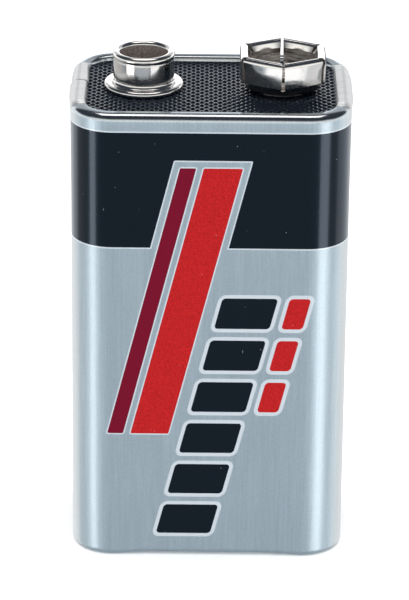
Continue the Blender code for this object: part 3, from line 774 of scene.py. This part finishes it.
socketSpec = {
    "x": 6.645, "base": 45.0, "sheet": 0.28, "holeRadius": 1.25,
    "collarApothem": 3.62, "collarTop": 1.0, "collarFlare": (0.02, 0.8), "height": 3.54,
    "curl": 0.43, "curlStart": -6, "curlEnd": 160, "lipReach": 0.15, "lipDrop": 0.46, "lipThin": 0.7,
    "leaf": [(3.94, 1.15), (3.95, 1.5), (3.955, 1.95), (3.96, 2.45)], "bulge": 3.97,
    "foot": 0.76, "topBow": 0.04, "leafBow": 0.10, "leafTuck": 0.20, "footTuck": 0.45,
    "topLevels": (2.6, 3.3), "footLevels": (0.5, 1.2), "wallFrom": (2.4, 3.0),
    "frontFrom": (3.0, 3.8), "frontEnd": (0.5, 2.2), "squeeze": 0.925, "footSqueeze": 0.93,
    "tuckCurve": 2.5, "slit": 0.20, "slitHeight": 4.0, "holeSize": 0.21, "sideCuts": 14, "cutterReach": 6.0,
    "dullFacing": 0.3, "dullLift": 0.02, "floorRadius": 3.2, "floorTop": 0.6,
}


def buildSocket(nickel, dull):
    s = socketSpec
    t = s["sheet"]
    curlMiddle = s["bulge"] - s["curl"]
    curlLevel = s["height"] - s["curl"]
    ease = radians(180 - s["curlEnd"])
    lipStart = (curlMiddle - s["curl"] * cos(ease), curlLevel + s["curl"] * sin(ease))
    lipFoot = lipStart[1] - s["lipDrop"]
    flare, flareLevel = s["collarFlare"]
    outside = (
        [(s["holeRadius"], 0.0)]
        + arc(s["collarApothem"] - s["foot"], s["foot"], s["foot"], -90, -8, 7)
        + [(s["collarApothem"] + flare, flareLevel)]
        + s["leaf"]
        + arc(curlMiddle, curlLevel, s["curl"], s["curlStart"], s["curlEnd"], 18)
        + [(lipStart[0] - s["lipReach"], lipFoot)]
    )
    inside = (
        [(lipStart[0] - s["lipReach"] + t * s["lipThin"], lipFoot)]
        + arc(curlMiddle, curlLevel, s["curl"] - t, s["curlEnd"], s["curlStart"], 12)
        + [(apothem - t, z) for apothem, z in s["leaf"][::-1]]
        + [(s["collarApothem"] - t, flareLevel)]
        + arc(s["collarApothem"] - s["foot"], s["foot"] + flare, s["foot"] - t + flare, -8, -80, 5)
        + [(s["holeRadius"], t)]
    )
    outline = [(apothem / cos(pi / 6), s["base"] + z) for apothem, z in outside + inside]
    bm = fullSpin([(0, -radius, z) for radius, z in outline], 6)
    across = []
    for edge in bm.edges:
        first, second = edge.verts[0].co, edge.verts[1].co
        if max(abs(first.z - second.z), abs(first.to_2d().length - second.to_2d().length)) < 1e-5:
            across.append(edge)
    bmesh.ops.subdivide_edges(bm, edges=across, cuts=s["sideCuts"], use_grid_fill=True)

    # straight sides at the top, but the leaves are bowed at half height and the drawn foot is nearly round
    for vert in bm.verts:
        x, y, z = vert.co
        reach = hypot(x, y)
        local = (atan2(y, x) + pi / 6) % (pi / 3) - pi / 6
        apothem = reach * cos(local)
        along = abs(tan(local)) / tan(pi / 6)
        level = z - s["base"]
        top = smoothStep(level, *s["topLevels"])
        foot = fadeOut(level, *s["footLevels"])
        outer = smoothStep(apothem, *s["wallFrom"])
        bow = (s["leafBow"] * (1 - top) * (1 - foot) + s["topBow"] * top) * (1 - along ** 2)
        # the front corner of the leaves stands nearly upright
        upright = smoothStep(-y, *s["frontFrom"]) * fadeOut(-x, *s["frontEnd"])
        leafTuck = s["leafTuck"] * (1 - upright)
        tuck = (s["footTuck"] * foot + leafTuck * (1 - foot) * (1 - top)) * along ** s["tuckCurve"]
        scale = 1 + outer * (bow - tuck) / max(reach, 0.1)
        vert.co.x *= scale
        vert.co.y *= scale * (s["squeeze"] + (s["footSqueeze"] - s["squeeze"]) * foot)
    bmesh.ops.recalc_face_normals(bm, faces=bm.faces)
    bmesh.ops.translate(bm, vec=(s["x"], 0, 0), verts=bm.verts)
    cup = linkObject("socketCup", meshFrom("socketCup", bm))

    # each slit is a keyhole: a saw cut that ends in a small round hole
    cutters = []
    slitBottom = s["base"] + s["collarTop"]
    half = s["slit"] / 2
    shoulder = degrees(asin(half / s["holeSize"]))
    slitTop = slitBottom + s["slitHeight"]
    keyhole = [(half, slitTop), (-half, slitTop)]
    keyhole += arc(0, slitBottom, s["holeSize"], 90 + shoulder, 450 - shoulder, 20)
    for number in range(3):
        bm = bmesh.new()
        verts = [bm.verts.new((-s["cutterReach"], y, z)) for y, z in keyhole]
        end = bmesh.ops.contextual_create(bm, geom=verts)["faces"]
        made = bmesh.ops.extrude_face_region(bm, geom=end)["geom"]
        pulled = only(bmesh.types.BMVert, made)
        bmesh.ops.translate(bm, vec=(2 * s["cutterReach"], 0, 0), verts=pulled)
        turnBy = Matrix.Rotation(radians(90 + 60 * number), 4, "Z")
        bmesh.ops.transform(bm, matrix=Matrix.Translation((s["x"], 0, 0)) @ turnBy, verts=bm.verts)
        bmesh.ops.recalc_face_normals(bm, faces=bm.faces)
        cutters.append(linkObject("keyhole", meshFrom("keyhole", bm)))
    cutAway(cup, cutters)

    def inCup(centre, normal):
        out = Vector((centre.x - s["x"], centre.y))
        facing = normal.to_2d().dot(out.normalized())
        level = centre.z - s["base"]
        onWall = facing < s["dullFacing"] and level < lipFoot + s["dullLift"]
        onFloor = out.length < s["floorRadius"] and level < s["floorTop"]
        return int(onWall or onFloor)

    dress(cup, [nickel, dull], "negative_socket", 32, inCup)
    return cup


rivetSpec = {
    "headBottom": 45.35, "headThickness": 0.30, "headRadius": 1.9, "bore": 0.7, "shank": 1.2,
    "footTop": 43.55, "footThickness": 0.30, "steps": 72,
    "headRound": 0.14, "boreRound": 0.16, "footRound": 0.12,
    "metal": ((0.42, 0.38, 0.33, 1.0), (0.66, 0.62, 0.56, 1.0), 0.28, (2500, 2500, 2500)),
}


def buildRivet(name, x, replaced, material):
    s = rivetSpec
    top = s["headBottom"] + s["headThickness"]
    foot = s["footTop"] - s["footThickness"]
    head, bore, low = s["headRound"], s["boreRound"], s["footRound"]
    outline = (
        arc(s["headRadius"] - head, top - head, head, 0, 90, 5)
        + arc(s["bore"] + bore, top - bore, bore, 90, 180, 5)
        + arc(s["bore"] + low, foot + low, low, 180, 270, 4)
        + arc(s["headRadius"] - low, foot + low, low, 270, 360, 4)
        + [(s["headRadius"], s["footTop"]), (s["shank"], s["footTop"])]
        + [(s["shank"], s["headBottom"]), (s["headRadius"], s["headBottom"])]
    )
    rivet = linkObject(name, meshFrom(name, spinOutline(outline, s["steps"], x)))
    dress(rivet, [material], replaced, 50)
    return rivet


def plainMetal(name, low, high, roughness, stretch):
    material, tree, shader, place = newMaterial(name, {"Metallic": 1.0})
    streak = grainOn(tree, place, stretch, 0.2)[1]
    rough = remap(tree, streak, 0.2, 0.8, roughness, roughness + 0.12)
    feed(tree, shader, {"Base Color": mixColour(tree, streak, low, high), "Roughness": rough})
    bumpInto(tree, shader, streak, 0.15, 0.00001)
    return material


def plainSolid(name, low, high, scale, roughness, bump, look):
    material, tree, shader, place = newMaterial(name, look)
    fine = noise(tree, place, scale, 4.0, 0.6)
    broad = noise(tree, place, scale / 12, 2.0)
    blend = plus(tree, times(tree, fine, 0.6), times(tree, broad, 0.4))
    tone = mixColour(tree, remap(tree, blend, 0.35, 0.65), low, high)
    rough = remap(tree, fine, 0.2, 0.8, roughness, roughness + 0.14)
    feed(tree, shader, {"Base Color": tone, "Roughness": rough})
    bumpInto(tree, shader, fine, bump, 0.00002)
    return material


insideLook = {
    # two tones and a roughness, then the grain's stretch for a metal
    "metals": {
        "nickelStrip": ((0.52, 0.51, 0.48, 1.0), (0.74, 0.73, 0.70, 1.0), 0.25, (500, 6000, 500)),
        "cellSteel": ((0.46, 0.47, 0.48, 1.0), (0.66, 0.67, 0.68, 1.0), 0.22, (4000, 4000, 300)),
    },
    # two tones, then the grain's scale, roughness, bump and shader values for any other solid
    "solids": {
        "shrinkFilm": ((0.022, 0.060, 0.115, 1.0), (0.035, 0.085, 0.155, 1.0), 1500.0, 0.25, 0.10,
                       {"Coat Weight": 0.4, "Coat Roughness": 0.12}),
        "nylonSeal": ((0.62, 0.60, 0.54, 1.0), (0.76, 0.74, 0.68, 1.0), 2500.0, 0.42, 0.15,
                      {"Subsurface Weight": 0.1, "Subsurface Scale": 0.0005}),
        "fibreCard": ((0.33, 0.27, 0.19, 1.0), (0.50, 0.43, 0.32, 1.0), 3200.0, 0.78, 0.5, {}),
        "coverPlastic": ((0.010, 0.013, 0.018, 1.0), (0.020, 0.024, 0.031, 1.0), 3800.0, 0.38, 0.35,
                         {"Specular IOR Level": 0.5}),
    },
    "kinds": {
        "_can": "cellSteel", "_sleeve": "shrinkFilm", "_seal": "nylonSeal", "_cap": "nickelStrip",
        "insulator": "fibreCard", "link": "nickelStrip", "lead": "nickelStrip",
        "bottom_cover": "coverPlastic",
    },
}


def dressInside():
    look = insideLook
    materials = {name: plainMetal(name, *values) for name, values in look["metals"].items()}
    materials.update({name: plainSolid(name, *values) for name, values in look["solids"].items()})
    for name, obj in nodes.items():
        for part, finish in look["kinds"].items():
            if part in name:
                obj.data.materials.clear()
                obj.data.materials.append(materials[finish])
    print("inner pieces dressed")


studio = {
    # radiance of the surroundings: below the horizon, in a ring around it, and above
    "lowFront": (0.12, 0.17, 0.22, 1.0), "lowSide": (0.57, 0.55, 0.535, 1.0),
    "lowBack": (0.08, 0.10, 0.12, 1.0), "above": (0.045, 0.053, 0.068, 1.0),
    "ringFront": (1.15, 1.12, 1.07, 1.0), "ringSide": (1.25, 1.25, 1.25, 1.0),
    "ringBack": (0.56, 0.57, 0.59, 1.0),
    # headings, in degrees from the front, over which the ring and what is under it change
    "sideHeadings": (40, 120), "flankHeadings": ((55, 75), (140, 122)), "wideHeadings": (126, 150),
    "backHeadings": (145, 168),
    # elevations of the ring's upper edge, its rise behind and drop at the flanks, and its foot
    "ringTopFront": (9, 36), "ringTopBack": (13, 27), "backRise": 23, "flankDrop": 8.0,
    "dimFrom": (8, 17), "ringFoot": (-12.0, -6.0), "footRise": 8.0,
    # upright cards: heading from the front, width, lowest and highest elevation, radiance, what they light
    "cards": [
        ("cornerCardLeft", -58, 17, -42, -9, 3.2, "jacketLit"),
        ("cornerCardRight", 48, 26, -42, -9, 2.75, "jacketLit"),
        ("sideCardLeft", -141, 58, -45, -8, 0.95, "jacketLit"),
        ("sideCardRight", 129, 82, -45, -8, 0.75, "jacketLit"),
        ("studCardLeft", -50, 30, -48, -9, 2.0, "studLit"),
        ("socketCardLeft", -43, 18, -48, -9, 1.25, "socketLit"),
        ("topCardRight", 42, 32, -48, -9, 1.1, "topLit"),
        ("topCardFar", 67, 18, -48, -9, 0.5, "topLit"),
        ("topCardFront", -5, 52, -42, -9, 0.28, "topLit"),
        ("topCardBack", 180, 44, 3, 26, 0.9, "backLit"),
    ],
    "away": 0.6, "middle": 0.03, "tint": (1.03, 0.97, 0.94),
    # level sheets: x, y, width, length, height, radiance, what they light, and if metal mirrors them
    "sheets": [
        ("overStrip", 0, 0.08, 0.40, 0.29, 0.6, 2.2, "metalLit", True),
        ("overSheet", 0, 0, 1.6, 1.6, 0.9, 2.6, None, False),
    ],
    "fill": ("frontFill", 0, 80, 5, 50, 0.9),
}
terminals = ("studCup", "socketCup", "studRivet", "socketRivet")
# the pieces that each group of lights shines on
litBy = {
    "jacketLit": ("jacketShell",),
    "studLit": ("studCup", "studRivet"), "socketLit": ("socketCup", "socketRivet"),
    "topLit": terminals, "backLit": ("boardNet",) + terminals, "metalLit": ("jacketShell",) + terminals,
}


def placeLight(name, width, length, radiance, receivers):
    light = bpy.data.lights.new(name, "AREA")
    light.shape = "RECTANGLE"
    light.size, light.size_y = width, length
    light.energy = radiance * pi * width * length
    if receivers:
        light.color = studio["tint"]
    obj = bpy.data.objects.new(name, light)
    bpy.context.scene.collection.objects.link(obj)
    if receivers:
        obj.light_linking.receiver_collection = bpy.data.collections[receivers]
    return obj


def placeCard(name, heading, width, low, high, radiance, receivers=None):
    away = studio["away"]
    head = radians(heading)
    direction = Vector((sin(head), -cos(head), 0))
    bottom, top = away * tan(radians(low)), away * tan(radians(high))
    obj = placeLight(name, 2 * away * tan(radians(width / 2)), top - bottom, radiance, receivers)
    obj.location = direction * away + Vector((0, 0, studio["middle"] + (top + bottom) / 2))
    obj.rotation_euler = (-direction).to_track_quat("-Z", "Y").to_euler()
    return obj


def placeLights():
    for name in litBy:
        bpy.data.collections.new(name)
    for card in studio["cards"]:
        placeCard(*card)
    for name, x, y, width, length, height, radiance, receivers, mirrored in studio["sheets"]:
        obj = placeLight(name, width, length, radiance, receivers)
        obj.location = (x, y, height)
        obj.visible_glossy = mirrored
    placeCard(*studio["fill"]).visible_glossy = False


def linkReceivers():
    for name, pieces in litBy.items():
        for piece in pieces:
            bpy.data.collections[name].objects.link(bpy.data.objects[piece])


def buildWorld():
    s = studio
    world = bpy.data.worlds.new("studioAir")
    world.use_nodes = True
    bpy.context.scene.world = world
    tree = world.node_tree
    shade = tree.nodes["Background"]
    way = tree.nodes.new("ShaderNodeTexCoord").outputs["Generated"]
    x, y, z = split(tree, way)
    heading = calc(tree, "ARCTAN2", x, times(tree, y, -1.0))
    heading = calc(tree, "DEGREES", absolute(tree, heading))
    rise = calc(tree, "DEGREES", calc(tree, "ARCSINE", z))
    side = remap(tree, heading, *s["sideHeadings"])
    behind = remap(tree, heading, *s["backHeadings"])
    wide = remap(tree, heading, *s["wideHeadings"])
    flankStart, flankEnd = s["flankHeadings"]
    flank = times(tree, remap(tree, heading, *flankStart), remap(tree, heading, *flankEnd))

    low = mixColour(tree, side, s["lowFront"], s["lowSide"])
    low = mixColour(tree, behind, low, s["lowBack"])
    # over the sides the ring ends low, and behind it is dimmer but reaches high
    front, back = s["ringTopFront"], s["ringTopBack"]
    shift = minus(tree, times(tree, wide, s["backRise"]), times(tree, flank, s["flankDrop"]))
    start, end = (
        plus(tree, plus(tree, front[i], times(tree, side, back[i] - front[i])), shift) for i in (0, 1)
    )
    ring = mixColour(tree, side, s["ringFront"], s["ringSide"])
    ring = mixColour(tree, times(tree, wide, remap(tree, rise, *s["dimFrom"])), ring, s["ringBack"])
    ring = mixColour(tree, remap(tree, rise, start, end), ring, s["above"])
    footLow, footHigh = (plus(tree, times(tree, behind, s["footRise"]), level) for level in s["ringFoot"])
    foot = remap(tree, rise, footLow, footHigh)
    tree.links.new(mixColour(tree, foot, low, ring), shade.inputs["Color"])
    return world


def buildStage():
    bm = bmesh.new()
    bmesh.ops.create_grid(bm, x_segments=8, y_segments=8, size=1500.0)
    floor = linkObject("paleFloor", meshFrom("paleFloor", bm))
    material, tree, shader, place = newMaterial("palePaper", {"Roughness": 0.9, "Specular IOR Level": 0.1})
    fibre = noise(tree, place, 300.0, 3.0)
    paper = mixColour(tree, fibre, (0.95, 0.95, 0.95, 1.0), (0.98, 0.98, 0.98, 1.0))
    feed(tree, shader, {"Base Color": paper})
    floor.data.materials.append(material)
    # the paper is only seen and shaded: what the battery mirrors is the lighting alone
    floor.visible_glossy = False
    floor.visible_diffuse = False
    floor.visible_shadow = False


cameraSpec = {
    "spot": (-0.435, -312.775, 157.094), "elevation": 23.177, "roll": 0.567,
    "lens": 212.495, "sensor": 36.0,
}


def buildCamera():
    c = cameraSpec
    down = radians(c["elevation"])
    ahead = Vector((0, cos(down), -sin(down)))
    right = Vector((1, 0, 0))
    up = right.cross(ahead)
    roll = radians(c["roll"])
    tiltedRight = right * cos(roll) + up * sin(roll)
    tiltedUp = up * cos(roll) - right * sin(roll)
    camera = bpy.data.cameras.new("photoCamera")
    camera.lens = c["lens"]
    camera.sensor_width = c["sensor"]
    camera.clip_start = 0.01
    obj = bpy.data.objects.new("photoCamera", camera)
    bpy.context.scene.collection.objects.link(obj)
    turn = Matrix((tiltedRight, tiltedUp, -ahead)).transposed().to_4x4()
    turn.translation = Vector(c["spot"]) * mm
    obj.matrix_world = turn
    bpy.context.scene.camera = obj


def main():
    buildCamera()
    buildWorld()
    buildStage()
    placeLights()
    print("stage, light and camera set")

    buildJacket()
    buildBoard()
    buildStud(buildNickel("studNickel", True), buildCupSteel())
    buildSocket(buildNickel("socketNickel", False), buildLeafSteel())
    rivetMetal = plainMetal("rivetMetal", *rivetSpec["metal"])
    buildRivet("studRivet", studSpec["x"], "positive_rivet", rivetMetal)
    buildRivet("socketRivet", socketSpec["x"], "negative_rivet", rivetMetal)
    dressInside()
    linkReceivers()

    scene = bpy.context.scene
    scene.view_settings.view_transform = "Standard"
    scene.view_settings.look = "None"


main()
